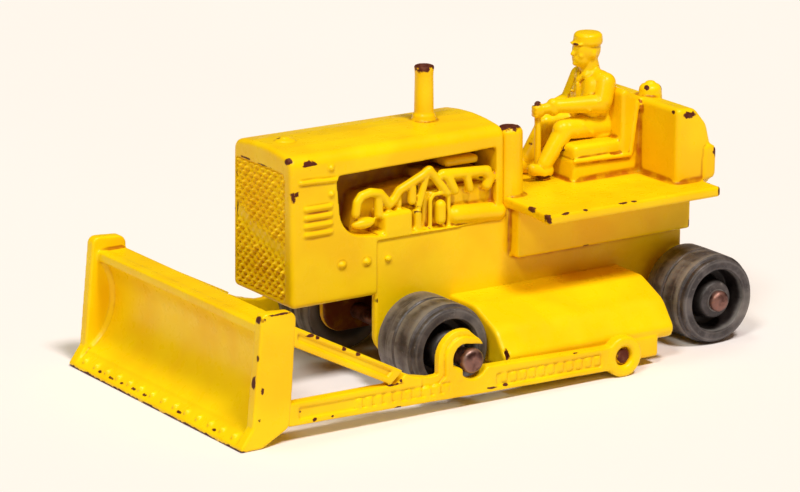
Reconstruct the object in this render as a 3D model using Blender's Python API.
"""A pocket-size die-cast toy bulldozer: yellow body, blade on two pivoting push arms, four rollers.

Frame: +X forward, +Y to the machine's left, +Z up, with the origin on the floor under the middle of
the machine. Lengths are in millimetres here, and MM turns them into Blender's metres.
"""

import math

import bmesh
import bpy
from mathutils import Matrix, Vector

MM = 0.001
SEAT_GAP = 0.03  # gap left between pieces that rest against each other

# Rollers and axles
ROLLER_RADIUS = 4.2
ROLLER_RIM_RADIUS = 3.95
ROLLER_INNER_Y = 5.75
ROLLER_OUTER_Y = 11.45
ROLLER_BORE = 0.85
ROLLER_DISH_RADIUS = 2.95
ROLLER_HUB_RADIUS = 1.75
AXLE_RADIUS = 0.75
FRONT_HEAD_RADIUS = 1.15
REAR_HEAD_RADIUS = 1.0
FRONT_AXLE_X = 5.0
REAR_AXLE_X = -24.8
FRONT_AXLE_END_Y = 15.2
REAR_AXLE_END_Y = 12.1
FRONT_HEAD_LENGTH = 0.95
REAR_HEAD_LENGTH = 0.7

# Chassis
BODY_HALF_WIDTH = 5.0
WALL = 1.0
CHASSIS_FRONT_X = 8.6
BODY_REAR_X = -25.5
CHASSIS_BOTTOM_Z = 2.4
SILL_Z = 13.5

# Hood, grille and engine
HOOD_FRONT_X = 17.65
HOOD_REAR_X = -4.9
HOOD_BOTTOM_Z = 8.35
HOOD_SHOULDER_Z = 21.0
HOOD_CROWN_Z = 22.4
HOOD_TOP_HALF_WIDTH = 4.8
HOOD_LINING_Z = 20.95
WINDOW_FRONT_X = 12.8
WINDOW_REAR_X = -4.2
WINDOW_TOP_Z = 19.9
GRILLE_FACE_X = 17.3
GRILLE_BUMP = 0.3
GRILLE_PLATE = 0.35
GRILLE_COLUMNS = 16
GRILLE_ROWS = 24
STACK_X = 0.4
STACK_TOP_Z = 27.5
CAP_X = 15.2
ENGINE_RELIEF = 0.35  # how far the engine's lower case stands out of the block behind it
CLEANER_X = -6.35
CLEANER_Y = 3.85
CLEANER_TOP_Z = 21.7

# Platform, seat and tank
PLATFORM_FRONT_X = -5.35
PLATFORM_REAR_X = -24.3
PLATFORM_LEFT_Y = 12.15
PLATFORM_RIGHT_Y = -9.0
PLATFORM_BOTTOM_Z = 14.4
PLATFORM_TOP_Z = 15.33
VALANCE_Y = 6.05
VALANCE_BOTTOM_Z = 9.8
SEAT_HALF_WIDTH = 3.9
TANK_FRONT_X = -21.25
TANK_REAR_X = -25.3
TANK_LEFT_Y = 9.3
TANK_TOP_Z = 22.3
TANK_CAP_X = -23.0
TANK_CAP_Y = 2.8
WINCH_REAR_X = -25.8

# Track covers and frames
COVER_FRONT_X = 0.6
COVER_REAR_X = -18.2
COVER_TOP_Z = 7.1
COVER_OUTER_Y = 13.6
COVER_BOTTOM_Z = 2.45
FRAME_BOTTOM_Z = 0.8

# Blade unit
PIVOT_X = -11.5
PIVOT_Z = 1.9
BLADE_HALF_WIDTH = 15.1
END_PLATE = 1.1
BLADE_TIP_X = 29.0
BLADE_BACK_X = 23.45
BLADE_CURVE_CENTRE = (30.65, 6.5)
BLADE_CURVE_RADIUS = 5.78
BLADE_THICKNESS = 0.85
ARM_OUTER_Y = 15.0
ARM_INNER_Y = 13.95
EYE_RADIUS = 1.85
EYE_BORE = 0.85
STUD_RADIUS = 0.75
HOOK_CENTRE = (6.1, 4.75)
HOOK_RADIUS = 2.45
POCKET_CENTRE = (5.0, 4.15)
POCKET_RADIUS = 1.55
BOLT_COUNT = 14
BOLT_RADIUS = 0.3


def clear_scene():
    for obj in list(bpy.data.objects):
        bpy.data.objects.remove(obj, do_unlink=True)


def make_material(name, colour, roughness, metallic):
    material = bpy.data.materials.new(name)
    material.use_nodes = True
    shader = material.node_tree.nodes["Principled BSDF"]
    shader.inputs["Base Color"].default_value = (*colour, 1.0)
    shader.inputs["Roughness"].default_value = roughness
    shader.inputs["Metallic"].default_value = metallic
    material.diffuse_color = (*colour, 1.0)
    return material


def across(axis, u, v, along):
    """A point in millimetres, from two coordinates across an axis and one along it."""
    if axis == "X":
        return Vector((along, u, v)) * MM
    if axis == "Y":
        return Vector((u, along, v)) * MM
    return Vector((u, v, along)) * MM


def arc(centre, radius, start, end, steps):
    """Points on a circle from one angle to another, in degrees, both ends included."""
    points = []
    for step in range(steps + 1):
        angle = math.radians(start + (end - start) * step / steps)
        points.append((centre[0] + radius * math.cos(angle), centre[1] + radius * math.sin(angle)))
    return points


def rounded(corners, steps=4):
    """An outline whose corners (u, v, radius) are replaced by arcs."""
    outline = []
    count = len(corners)
    for index, (u, v, radius) in enumerate(corners):
        here = Vector((u, v))
        if radius == 0:
            outline.append((u, v))
            continue
        before = (Vector(corners[index - 1][:2]) - here).normalized()
        after = (Vector(corners[(index + 1) % count][:2]) - here).normalized()
        half = before.angle(after) / 2
        centre = here + (before + after).normalized() * (radius / math.sin(half))
        start = here + before * (radius / math.tan(half)) - centre
        end = here + after * (radius / math.tan(half)) - centre
        turn = start.angle_signed(end)
        for step in range(steps + 1):
            angle = -turn * step / steps
            spoke = Matrix.Rotation(angle, 2) @ start
            outline.append(tuple(centre + spoke))
    return outline


def prism(outline, axis, low, high):
    """A closed solid: an outline across an axis, pushed along it from low to high."""
    mesh = bmesh.new()
    bottom = [mesh.verts.new(across(axis, u, v, low)) for u, v in outline]
    face = mesh.faces.new(bottom)
    pushed = bmesh.ops.extrude_face_region(mesh, geom=[face])
    moved = [item for item in pushed["geom"] if isinstance(item, bmesh.types.BMVert)]
    bmesh.ops.translate(mesh, verts=moved, vec=across(axis, 0, 0, high - low))
    bmesh.ops.recalc_face_normals(mesh, faces=mesh.faces)
    return mesh


def block(x, y, z):
    """A box between two values on each axis."""
    return prism([(x[0], y[0]), (x[1], y[0]), (x[1], y[1]), (x[0], y[1])], "Z", z[0], z[1])


def turned(profile, axis, centre, steps, ring=False):
    """A turned solid from (along, radius) pairs: a ring when its profile is a closed loop off the axis."""
    mesh = bmesh.new()
    rows = []
    for along, radius in profile:
        turns = 1 if radius == 0 else steps
        row = []
        for step in range(turns):
            angle = 2 * math.pi * step / steps
            u = centre[0] + radius * math.cos(angle)
            v = centre[1] + radius * math.sin(angle)
            row.append(mesh.verts.new(across(axis, u, v, along)))
        rows.append(row)
    pairs = list(zip(rows, rows[1:]))
    if ring:
        pairs.append((rows[-1], rows[0]))
    for first, second in pairs:
        for step in range(steps):
            after = (step + 1) % steps
            if len(first) == 1:
                mesh.faces.new((first[0], second[step], second[after]))
            elif len(second) == 1:
                mesh.faces.new((first[step], second[0], first[after]))
            else:
                mesh.faces.new((first[step], second[step], second[after], first[after]))
    bmesh.ops.recalc_face_normals(mesh, faces=mesh.faces)
    return mesh


def capsule(start, end, start_radius, end_radius, steps=12, cap_rows=3):
    """A limb: a tapered tube between two points, in millimetres, with round ends."""
    start, end = Vector(start), Vector(end)
    length = (end - start).length
    profile = [(-start_radius, 0)]
    for row in range(1, cap_rows + 1):
        angle = math.pi / 2 * row / cap_rows
        profile.append((-start_radius * math.cos(angle), start_radius * math.sin(angle)))
    for row in range(cap_rows, 0, -1):
        angle = math.pi / 2 * row / cap_rows
        profile.append((length + end_radius * math.cos(angle), end_radius * math.sin(angle)))
    profile.append((length + end_radius, 0))
    mesh = turned(profile, "Z", (0, 0), steps)
    spin = (end - start).to_track_quat("Z", "Y").to_matrix().to_4x4()
    bmesh.ops.transform(mesh, matrix=Matrix.Translation(start * MM) @ spin, verts=mesh.verts)
    return mesh


def ellipsoid(centre, radii, steps=16):
    mesh = bmesh.new()
    scale = Matrix.Diagonal((*[radius * MM for radius in radii], 1.0))
    place = Matrix.Translation(Vector(centre) * MM) @ scale
    bmesh.ops.create_uvsphere(mesh, u_segments=steps, v_segments=steps // 2 + 2, radius=1.0, matrix=place)
    return mesh


def mirrored(mesh):
    """The same solid on the machine's other side."""
    copy = mesh.copy()
    bmesh.ops.scale(copy, vec=(1, -1, 1), verts=copy.verts)
    bmesh.ops.reverse_faces(copy, faces=copy.faces)
    return copy


def add_object(name, mesh, material, bevel=0.0, segments=2, parent=None, smooth=True):
    data = bpy.data.meshes.new(name)
    mesh.to_mesh(data)
    mesh.free()
    obj = bpy.data.objects.new(name, data)
    bpy.context.scene.collection.objects.link(obj)
    if material:
        data.materials.append(material)
    if smooth:
        data.shade_smooth()
        data.set_sharp_from_angle(angle=math.radians(35))
    if parent:
        data.transform(Matrix.Translation(-parent.location))
        obj.parent = parent
    if bevel:
        edge = obj.modifiers.new("Rounded edges", "BEVEL")
        edge.width = bevel * MM
        edge.segments = segments
        edge.limit_method = "ANGLE"
        edge.angle_limit = math.radians(40)
    return obj


def add_pair(name, mesh, material, **options):
    """A left and a right piece, from the left one's mesh."""
    other = mirrored(mesh)
    left = add_object(name + "_left", mesh, material, **options)
    right = add_object(name + "_right", other, material, **options)
    return left, right


def add_pivot(name, location):
    empty = bpy.data.objects.new(name, None)
    empty.location = Vector(location) * MM
    empty.empty_display_size = 2 * MM
    bpy.context.scene.collection.objects.link(empty)
    return empty


def helper(name, mesh, bevel=0.0):
    """A shape that only cuts or joins another one."""
    obj = add_object(name, mesh, None, bevel=bevel, smooth=False)
    obj.hide_render = True
    obj.display_type = "WIRE"
    return obj


def combine(obj, other, operation):
    modifier = obj.modifiers.new(operation.title() + " " + other.name, "BOOLEAN")
    modifier.operation = operation
    modifier.object = other
    modifier.solver = "EXACT"


def cut(obj, other):
    combine(obj, other, "DIFFERENCE")


def join(obj, other):
    combine(obj, other, "UNION")


def build_chassis(paint):
    outline = [
        (CHASSIS_FRONT_X, SILL_Z),
        *arc((CHASSIS_FRONT_X - 2.1, CHASSIS_BOTTOM_Z + 2.1), 2.1, 0, -90, 5),
        (BODY_REAR_X + 1.2, CHASSIS_BOTTOM_Z),
        (BODY_REAR_X, CHASSIS_BOTTOM_Z + 1.2),
        (BODY_REAR_X, PLATFORM_BOTTOM_Z - SEAT_GAP),
        (PLATFORM_FRONT_X, PLATFORM_BOTTOM_Z - SEAT_GAP),
        (PLATFORM_FRONT_X, SILL_Z),
    ]
    inner_y = BODY_HALF_WIDTH - WALL
    side = prism(outline, "Y", inner_y, BODY_HALF_WIDTH - 0.1)
    left, right = add_pair("chassis_side", side, paint)
    bore_radius = AXLE_RADIUS + 0.1
    shape = [(-8, 0), (-8, bore_radius), (8, bore_radius), (8, 0)]
    for place, axle_x in (("front", FRONT_AXLE_X), ("rear", REAR_AXLE_X)):
        bore = helper(place + "_axle_bore", turned(shape, "Y", (axle_x, ROLLER_RADIUS), 20))
        cut(left, bore)
        cut(right, bore)
    back = block(
        (BODY_REAR_X, BODY_REAR_X + 0.6 - SEAT_GAP),
        (-inner_y + SEAT_GAP, inner_y - SEAT_GAP),
        (ROLLER_RADIUS + 2.2, PLATFORM_BOTTOM_Z - SEAT_GAP),
    )
    add_object("chassis_back", back, paint, bevel=0.1, segments=1)
    valance = block(
        (BODY_REAR_X, PLATFORM_FRONT_X - 0.55),
        (BODY_HALF_WIDTH - 0.1 + SEAT_GAP, VALANCE_Y),
        (VALANCE_BOTTOM_Z, PLATFORM_BOTTOM_Z - SEAT_GAP),
    )
    add_pair("valance", valance, paint, bevel=0.15)


def hood_half_section():
    """The left half of the hood's section, from its bottom edge up to the crown."""
    shoulder_radius = 1.1
    shoulder_centre = (HOOD_TOP_HALF_WIDTH - shoulder_radius, HOOD_SHOULDER_Z)
    shoulder = arc(shoulder_centre, shoulder_radius, 0, 80, 4)
    return [(BODY_HALF_WIDTH, HOOD_BOTTOM_Z), *shoulder, (2.0, HOOD_CROWN_Z - 0.08)]


def build_hood(paint):
    half = hood_half_section()
    outline = half + [(0, HOOD_CROWN_Z)] + [(-y, z) for y, z in reversed(half)]
    hood = add_object("hood", prism(outline, "X", HOOD_REAR_X, HOOD_FRONT_X), paint, bevel=0.3)
    lining = BODY_HALF_WIDTH - WALL
    length = (HOOD_REAR_X - 2, HOOD_FRONT_X + 2)
    inside = block(length, (-lining, lining), (HOOD_BOTTOM_Z - 2, HOOD_LINING_Z))
    cut(hood, helper("hood_lining_cutter", inside))
    window = rounded(
        [
            (WINDOW_REAR_X, SILL_Z + 0.1, 0),
            (WINDOW_FRONT_X, SILL_Z + 0.1, 3.8),
            (WINDOW_FRONT_X, WINDOW_TOP_Z, 0.8),
            (WINDOW_REAR_X, WINDOW_TOP_Z, 0.4),
        ]
    )
    cut(hood, helper("window_cutter", prism(window, "Y", -8, 8)))
    skirt_length = (HOOD_REAR_X - 2, CHASSIS_FRONT_X + SEAT_GAP)
    skirt = block(skirt_length, (-8, 8), (HOOD_BOTTOM_Z - 2, SILL_Z + SEAT_GAP))
    cut(hood, helper("skirt_cutter", skirt))


def build_grille(paint):
    """A plate whose front is a lattice of pyramids, with its border left flat."""
    half_width = BODY_HALF_WIDTH - WALL - SEAT_GAP
    low, high = HOOD_BOTTOM_Z + 0.25, HOOD_LINING_Z - SEAT_GAP
    mesh = bmesh.new()
    rows = []
    for row in range(GRILLE_ROWS + 1):
        line = []
        for column in range(GRILLE_COLUMNS + 1):
            border = row in (0, GRILLE_ROWS) or column in (0, GRILLE_COLUMNS)
            raised = (row + column) % 2 == 0 and not border
            x = GRILLE_FACE_X + (GRILLE_BUMP if raised else 0)
            y = -half_width + 2 * half_width * column / GRILLE_COLUMNS
            z = low + (high - low) * row / GRILLE_ROWS
            line.append(mesh.verts.new(Vector((x, y, z)) * MM))
        rows.append(line)
    for row in range(GRILLE_ROWS):
        for column in range(GRILLE_COLUMNS):
            below, above = rows[row], rows[row + 1]
            mesh.faces.new((below[column], below[column + 1], above[column + 1], above[column]))
    pushed = bmesh.ops.extrude_face_region(mesh, geom=mesh.faces[:])
    for item in pushed["geom"]:
        if isinstance(item, bmesh.types.BMVert):
            item.co.x = (GRILLE_FACE_X - GRILLE_PLATE) * MM
    bmesh.ops.recalc_face_normals(mesh, faces=mesh.faces)
    bmesh.ops.dissolve_limit(mesh, angle_limit=0.01, verts=mesh.verts, edges=mesh.edges)
    bmesh.ops.triangulate(mesh, faces=mesh.faces)
    add_object("radiator_grille", mesh, paint, smooth=False)


def rounded_bar(low_x, high_x, low_z, high_z, radius):
    """The outline of a bar seen from the side, its corners rounded."""
    bottom = [(low_x, low_z, radius), (high_x, low_z, radius)]
    top = [(high_x, high_z, radius), (low_x, high_z, radius)]
    return rounded(bottom + top)


def build_engine(paint):
    """The block behind the hood's windows, and the relief that shows in each of them."""
    face = BODY_HALF_WIDTH - WALL
    half = face - SEAT_GAP
    length = (HOOD_REAR_X, GRILLE_FACE_X - GRILLE_PLATE - SEAT_GAP)
    core = block(length, (-half, half), (HOOD_BOTTOM_Z + 0.2, HOOD_LINING_Z - SEAT_GAP))
    add_object("engine_block", core, paint)

    case_face = face + ENGINE_RELIEF
    case_outline = rounded([(-4.0, 13.65, 0), (8.9, 13.65, 0), (8.4, 17.2, 0.8), (-4.0, 17.2, 0.5)])
    add_pair("crankcase", prism(case_outline, "Y", face, case_face), paint)
    manifold_face = face + 0.65
    intake = rounded_bar(3.7, 10.9, 17.3, 18.6, 0.4)
    add_pair("intake_manifold", prism(intake, "Y", face, manifold_face), paint, bevel=0.2)
    exhaust = rounded_bar(-3.9, 1.3, 17.75, 18.85, 0.4)
    add_pair("exhaust_manifold", prism(exhaust, "Y", face, manifold_face), paint, bevel=0.2)
    valves = rounded_bar(-3.3, 0.5, 19.0, 19.7, 0.25)
    add_pair("valve_cover", prism(valves, "Y", face, case_face), paint, bevel=0.2)

    shelf = case_face + SEAT_GAP
    outer = BODY_HALF_WIDTH
    fuel_filter = arc((1.3, 15.4), 0.7, 0, 180, 6) + arc((1.3, 14.35), 0.7, 180, 360, 6)
    add_pair("fuel_filter", prism(fuel_filter, "Y", shelf, outer), paint, bevel=0.2)
    starter = arc((-3.0, 14.55), 0.8, 90, 270, 6) + arc((-0.6, 14.55), 0.8, -90, 90, 6)
    add_pair("starter_motor", prism(starter, "Y", shelf, outer), paint, bevel=0.25)
    pump = rounded([(3.7, 13.75, 0.2), (7.5, 13.75, 0.4), (7.5, 15.8, 0.5), (3.7, 15.6, 0.3)])
    add_pair("injection_pump", prism(pump, "Y", shelf, outer), paint, bevel=0.2)


def build_hood_fittings(paint):
    low = HOOD_CROWN_Z + SEAT_GAP
    stack = [(low, 0), (low, 1.2), (low + 0.5, 1.08), (STACK_TOP_Z, 0.92), (STACK_TOP_Z, 0)]
    add_object("exhaust_stack", turned(stack, "Z", (STACK_X, 0), 20), paint)
    cap = [(low, 0), (low, 1.1), (low + 0.3, 1.0), (low + 0.35, 0.5), (low + 0.3, 0)]
    add_object("radiator_cap", turned(cap, "Z", (CAP_X, 0), 20), paint)


def build_cowl(paint):
    low = PLATFORM_TOP_Z + SEAT_GAP
    cleaner = [(low, 0), (low, 1.25), (CLEANER_TOP_Z - 0.4, 1.2), (CLEANER_TOP_Z, 0.95), (CLEANER_TOP_Z, 0)]
    add_object("air_cleaner", turned(cleaner, "Z", (CLEANER_X, CLEANER_Y), 20), paint)
    dash = block((-5.9, HOOD_REAR_X - SEAT_GAP), (-4.6, 2.5), (low, 19.5))
    add_object("dashboard", dash, paint, bevel=0.2)


def build_platform(paint):
    outline = rounded(
        [
            (PLATFORM_FRONT_X, PLATFORM_LEFT_Y, 0.3),
            (PLATFORM_REAR_X, PLATFORM_LEFT_Y, 0.3),
            (PLATFORM_REAR_X, VALANCE_Y, 0),
            (BODY_REAR_X, VALANCE_Y, 0.2),
            (BODY_REAR_X, -VALANCE_Y, 0.2),
            (PLATFORM_REAR_X, -VALANCE_Y, 0),
            (PLATFORM_REAR_X, PLATFORM_RIGHT_Y, 0.3),
            (PLATFORM_FRONT_X, PLATFORM_RIGHT_Y, 0.3),
        ],
        steps=2,
    )
    slab = prism(outline, "Z", PLATFORM_BOTTOM_Z, PLATFORM_TOP_Z)
    add_object("platform", slab, paint, bevel=0.2)


def build_seat(paint):
    low = PLATFORM_TOP_Z + SEAT_GAP
    width = SEAT_HALF_WIDTH
    base = block((TANK_FRONT_X + SEAT_GAP, -13.9), (-width + 0.2, width - 0.2), (low, 17.1))
    add_object("seat_base", base, paint, bevel=0.25)
    cushion = block((-19.1, -13.4), (-width, width), (17.1 + SEAT_GAP, 18.7))
    add_object("seat_cushion", cushion, paint, bevel=0.4, segments=3)
    back_outline = rounded(
        [(-19.15, 17.1 + SEAT_GAP, 0), (-18.95, 23.9, 0.5), (-21.2, 22.3, 0.3), (-21.2, 17.1 + SEAT_GAP, 0)]
    )
    back = prism(back_outline, "Y", -width, width)
    add_object("seat_back", back, paint, bevel=0.25)


def build_tank(paint):
    low = PLATFORM_TOP_Z + SEAT_GAP
    outline = rounded(
        [
            (TANK_FRONT_X, low, 0),
            (TANK_FRONT_X, TANK_TOP_Z, 0.5),
            (TANK_REAR_X, TANK_TOP_Z, 2.6),
            (TANK_REAR_X, low, 0.4),
        ],
        steps=5,
    )
    tank = prism(outline, "Y", -SEAT_HALF_WIDTH, TANK_LEFT_Y)
    add_object("rear_tank", tank, paint, bevel=0.5, segments=3)
    top = TANK_TOP_Z + SEAT_GAP
    cap = [(top, 0), (top, 1.05), (top + 0.8, 1.0), (top + 1.15, 0.6), (top + 1.2, 0)]
    add_object("tank_cap", turned(cap, "Z", (TANK_CAP_X, TANK_CAP_Y), 20), paint)
    front_x = TANK_REAR_X - SEAT_GAP
    housing_outline = rounded(
        [(front_x, low, 0), (front_x, 19.1, 0), (WINCH_REAR_X, 18.8, 0.15), (WINCH_REAR_X, low, 0.15)]
    )
    housing = prism(housing_outline, "Y", 6.5, TANK_LEFT_Y - 0.1)
    add_object("winch_housing", housing, paint, bevel=0.08)


def build_driver(paint):
    """A seated figure on its own casting, one hand forward on the lever."""
    driver = add_object("driver", ellipsoid((-18.3, 0, 21.9), (1.75, 2.0, 3.2), steps=20), paint)
    limbs = {
        "driver_hips": capsule((-18.9, -0.9, 19.95), (-18.9, 0.9, 19.95), 1.15, 1.15),
        "driver_thigh_left": capsule((-18.3, 1.1, 19.95), (-14.3, 1.3, 19.95), 1.0, 0.85),
        "driver_thigh_right": capsule((-18.3, -1.1, 19.95), (-14.3, -1.3, 19.95), 1.0, 0.85),
        "driver_shin_left": capsule((-14.2, 1.3, 19.8), (-12.75, 1.3, 16.3), 0.8, 0.6),
        "driver_shin_right": capsule((-14.2, -1.3, 19.8), (-12.75, -1.3, 16.3), 0.8, 0.6),
        "driver_foot_left": capsule((-12.9, 1.3, 16.05), (-11.4, 1.3, 16.15), 0.6, 0.5),
        "driver_foot_right": capsule((-12.9, -1.3, 16.05), (-11.4, -1.3, 16.15), 0.6, 0.5),
        "driver_shoulders": capsule((-18.4, -1.5, 24.0), (-18.4, 1.5, 24.0), 0.85, 0.85),
        "driver_arm_left": capsule((-18.3, 1.8, 23.8), (-16.6, 2.0, 21.6), 0.8, 0.7),
        "driver_forearm_left": capsule((-16.6, 2.0, 21.6), (-11.9, 0.9, 21.6), 0.7, 0.55),
        "driver_arm_right": capsule((-18.3, -1.8, 23.8), (-16.9, -1.9, 21.5), 0.8, 0.7),
        "driver_forearm_right": capsule((-16.9, -1.9, 21.5), (-14.4, -1.4, 20.9), 0.7, 0.55),
        "driver_neck": capsule((-17.9, 0, 24.5), (-17.7, 0, 25.8), 0.85, 0.8),
        "driver_head": ellipsoid((-17.6, 0, 26.75), (1.45, 1.15, 1.65), steps=16),
    }
    for name, mesh in limbs.items():
        join(driver, helper(name, mesh))
    floor = PLATFORM_TOP_Z + SEAT_GAP
    below = block((-22, -8), (-4, 4), (floor - 3, floor))
    cut(driver, helper("driver_floor_cutter", below))
    seat = block((-19.4, -13.2), (-4.2, 4.2), (16.5, 18.7 + SEAT_GAP))
    cut(driver, helper("driver_seat_cutter", seat))
    back = block((-22, -18.85), (-4.2, 4.2), (16.5, 24))
    cut(driver, helper("driver_back_cutter", back))


def build_lever(paint):
    low = PLATFORM_TOP_Z + SEAT_GAP
    rod = [(low, 0), (low, 0.45), (low + 0.5, 0.3), (20.9, 0.26), (20.9, 0)]
    add_object("control_lever", turned(rod, "Z", (-12.0, 0.0), 12), paint)


def build_tracks(paint):
    cover_outline = [
        (BODY_HALF_WIDTH, COVER_BOTTOM_Z),
        (BODY_HALF_WIDTH, COVER_TOP_Z),
        (8.4, COVER_TOP_Z - 0.1),
        (10.3, COVER_TOP_Z - 0.6),
        (11.8, COVER_TOP_Z - 1.5),
        (12.9, COVER_TOP_Z - 2.6),
        (COVER_OUTER_Y, COVER_TOP_Z - 3.9),
        (COVER_OUTER_Y - 0.2, COVER_BOTTOM_Z),
    ]
    cover = prism(cover_outline, "X", COVER_REAR_X, COVER_FRONT_X)
    add_pair("track_cover", cover, paint, bevel=0.35)
    frame_height = (FRAME_BOTTOM_Z, COVER_BOTTOM_Z - SEAT_GAP)
    frame = block((-16.4, -1.2), (BODY_HALF_WIDTH + 0.9, COVER_OUTER_Y), frame_height)
    add_pair("track_frame", frame, paint, bevel=0.2)
    stud_base = COVER_OUTER_Y + SEAT_GAP
    stud = [(stud_base, 0), (stud_base, STUD_RADIUS), (14.7, STUD_RADIUS), (14.85, 0.5), (14.85, 0)]
    add_pair("pivot_stud", turned(stud, "Y", (PIVOT_X, PIVOT_Z), 24), paint)


def build_axle(name, pivot, end_y, head_length, head_radius, steel):
    head = end_y - head_length
    half = [(0, AXLE_RADIUS), (head, AXLE_RADIUS), (head, head_radius), (end_y - 0.2, head_radius)]
    half += [(end_y, head_radius - 0.3), (end_y, 0)]
    profile = [(-y, radius) for y, radius in reversed(half)] + half[1:]
    centre = (pivot.location.x / MM, pivot.location.z / MM)
    add_object(name, turned(profile, "Y", centre, 24), steel, parent=pivot)


def build_rollers(pivot, place, bare_metal):
    inner, outer = ROLLER_INNER_Y, ROLLER_OUTER_Y
    middle = (inner + outer) / 2 - 0.2
    profile = [
        (inner, ROLLER_BORE),
        (inner, ROLLER_RADIUS - 0.25),
        (inner + 0.25, ROLLER_RADIUS),
        (middle - 0.2, ROLLER_RADIUS),
        (middle, ROLLER_RADIUS - 0.15),
        (middle + 0.2, ROLLER_RADIUS),
        (outer - 0.75, ROLLER_RADIUS),
        (outer - 0.6, ROLLER_RIM_RADIUS),
        (outer - 0.1, ROLLER_RIM_RADIUS),
        (outer, ROLLER_RIM_RADIUS - 0.15),
        (outer, ROLLER_DISH_RADIUS + 0.1),
        (outer - 1.6, ROLLER_DISH_RADIUS - 0.2),
        (outer - 1.6, ROLLER_HUB_RADIUS + 0.1),
        (outer - 0.25, ROLLER_HUB_RADIUS),
        (outer - 0.25, ROLLER_BORE),
    ]
    centre = (pivot.location.x / MM, pivot.location.z / MM)
    mesh = turned(profile, "Y", centre, 40, ring=True)
    add_pair("roller_" + place, mesh, bare_metal, parent=pivot)


def build_blade(pivot, paint):
    front = arc(BLADE_CURVE_CENTRE, BLADE_CURVE_RADIUS, 137, 239, 12)
    back = arc(BLADE_CURVE_CENTRE, BLADE_CURVE_RADIUS + BLADE_THICKNESS, 232, 152, 8)
    half = BLADE_HALF_WIDTH - END_PLATE - SEAT_GAP
    outline = front + back + [(BLADE_BACK_X, 9.8), (BLADE_BACK_X, 10.7), (26.3, 10.75)]
    add_object("moldboard", prism(outline, "Y", -half, half), paint, parent=pivot)

    edge_outline = [(27.72, 1.42), (BLADE_TIP_X, 0.3), (BLADE_TIP_X, 0.0), (28.1, 0.0), (26.75, 1.12)]
    edge = add_object("cutting_edge", prism(edge_outline, "Y", -half, half), paint, parent=pivot)
    edge.data.set_sharp_from_angle(angle=math.radians(20))
    spacing = 2 * half / BOLT_COUNT
    for index in range(BOLT_COUNT):
        place = Vector((28.13, -half + spacing * (index + 0.5), 0.97))
        dome = ellipsoid(place, (BOLT_RADIUS, BOLT_RADIUS, BOLT_RADIUS), steps=8)
        join(edge, helper(f"edge_bolt_{index + 1}", dome))

    plate_outline = rounded(
        [
            (26.8, 11.6, 0.35),
            (27.75, 1.95, 0.3),
            (BLADE_TIP_X, 0.4, 0),
            (BLADE_TIP_X, 0.0, 0),
            (26.9, 0.02, 0.8),
            (24.1, 1.5, 1.0),
            (23.95, 4.2, 0.5),
            (BLADE_BACK_X, 11.45, 0.9),
        ],
        steps=3,
    )
    plate = prism(plate_outline, "Y", BLADE_HALF_WIDTH - END_PLATE, BLADE_HALF_WIDTH)
    add_pair("end_plate", plate, paint, bevel=0.12, parent=pivot)


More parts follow.
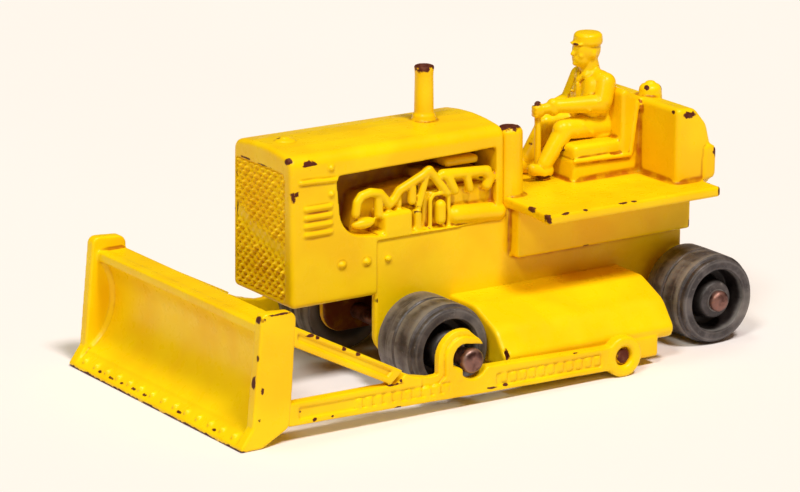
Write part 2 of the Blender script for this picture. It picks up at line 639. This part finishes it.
def arm_outline():
    """The push arm from the side: a bar, an eye at its rear end, and a hook over the front axle."""
    eye = arc((PIVOT_X, PIVOT_Z), EYE_RADIUS, 38, 322, 20)
    bar_top = [(PIVOT_X + 2.0, 3.04), (3.5, 3.5)]
    pocket = arc(POCKET_CENTRE, POCKET_RADIUS, 212, 320, 8)
    step = [(6.4, 3.85), (7.15, 4.0)]
    inside = [(7.2, 4.75), (7.05, 5.25), (6.75, 5.68), (6.3, 5.93), (5.8, 5.95), (5.3, 5.85), (4.7, 5.78)]
    tip = [(3.98, 5.62), (4.3, 6.1), (4.8, 6.58)]
    outside = arc(HOOK_CENTRE, HOOK_RADIUS, 108, 0, 9)
    rise = [(8.55, 3.45), (9.5, 3.45), (11.3, 3.85), (12.2, 4.25)]
    front = [(13.1, 3.4), (14.2, 3.5), (23.88, 3.6), (23.88, 1.5)]
    bottom = [(12.9, 1.3), (2.2, 1.05), (PIVOT_X + 2.1, 0.85)]
    hook = pocket + step + inside + tip + outside + rise
    return bar_top + hook + front + bottom + eye[::-1]


def build_arms(pivot, paint):
    arm = prism(arm_outline(), "Y", ARM_INNER_Y, ARM_OUTER_Y)
    bore = turned([(10, 0), (10, EYE_BORE), (18, EYE_BORE), (18, 0)], "Y", (PIVOT_X, PIVOT_Z), 24)
    left, right = add_pair("push_arm", arm, paint, parent=pivot)
    cut(right, helper("right_eye_cutter", mirrored(bore)))
    cut(left, helper("left_eye_cutter", bore))

    strut_outline = [(23.4, 10.35), (23.47, 8.65), (13.7, 3.72), (12.55, 4.6)]
    strut = prism(strut_outline, "Y", ARM_INNER_Y + 0.05, ARM_OUTER_Y)
    add_pair("brace_strut", strut, paint, bevel=0.12, parent=pivot)


def main():
    clear_scene()
    yellow = make_material("Yellow enamel", (0.86, 0.62, 0.02), 0.35, 0.0)
    bare_metal = make_material("Tarnished casting metal", (0.17, 0.14, 0.125), 0.55, 0.6)
    steel = make_material("Dull steel", (0.2, 0.14, 0.12), 0.4, 0.9)

    build_chassis(yellow)
    build_hood(yellow)
    build_grille(yellow)
    build_engine(yellow)
    build_hood_fittings(yellow)
    build_cowl(yellow)
    build_platform(yellow)
    build_seat(yellow)
    build_tank(yellow)
    build_driver(yellow)
    build_lever(yellow)
    build_tracks(yellow)

    front = add_pivot("front_axle_centre", (FRONT_AXLE_X, 0, ROLLER_RADIUS))
    rear = add_pivot("rear_axle_centre", (REAR_AXLE_X, 0, ROLLER_RADIUS))
    build_axle("front_axle", front, FRONT_AXLE_END_Y, FRONT_HEAD_LENGTH, FRONT_HEAD_RADIUS, steel)
    build_axle("rear_axle", rear, REAR_AXLE_END_Y, REAR_HEAD_LENGTH, REAR_HEAD_RADIUS, steel)
    build_rollers(front, "front", bare_metal)
    build_rollers(rear, "rear", bare_metal)

    lift = add_pivot("blade_lift_pivot", (PIVOT_X, 0, PIVOT_Z))
    build_blade(lift, yellow)
    build_arms(lift, yellow)


main()
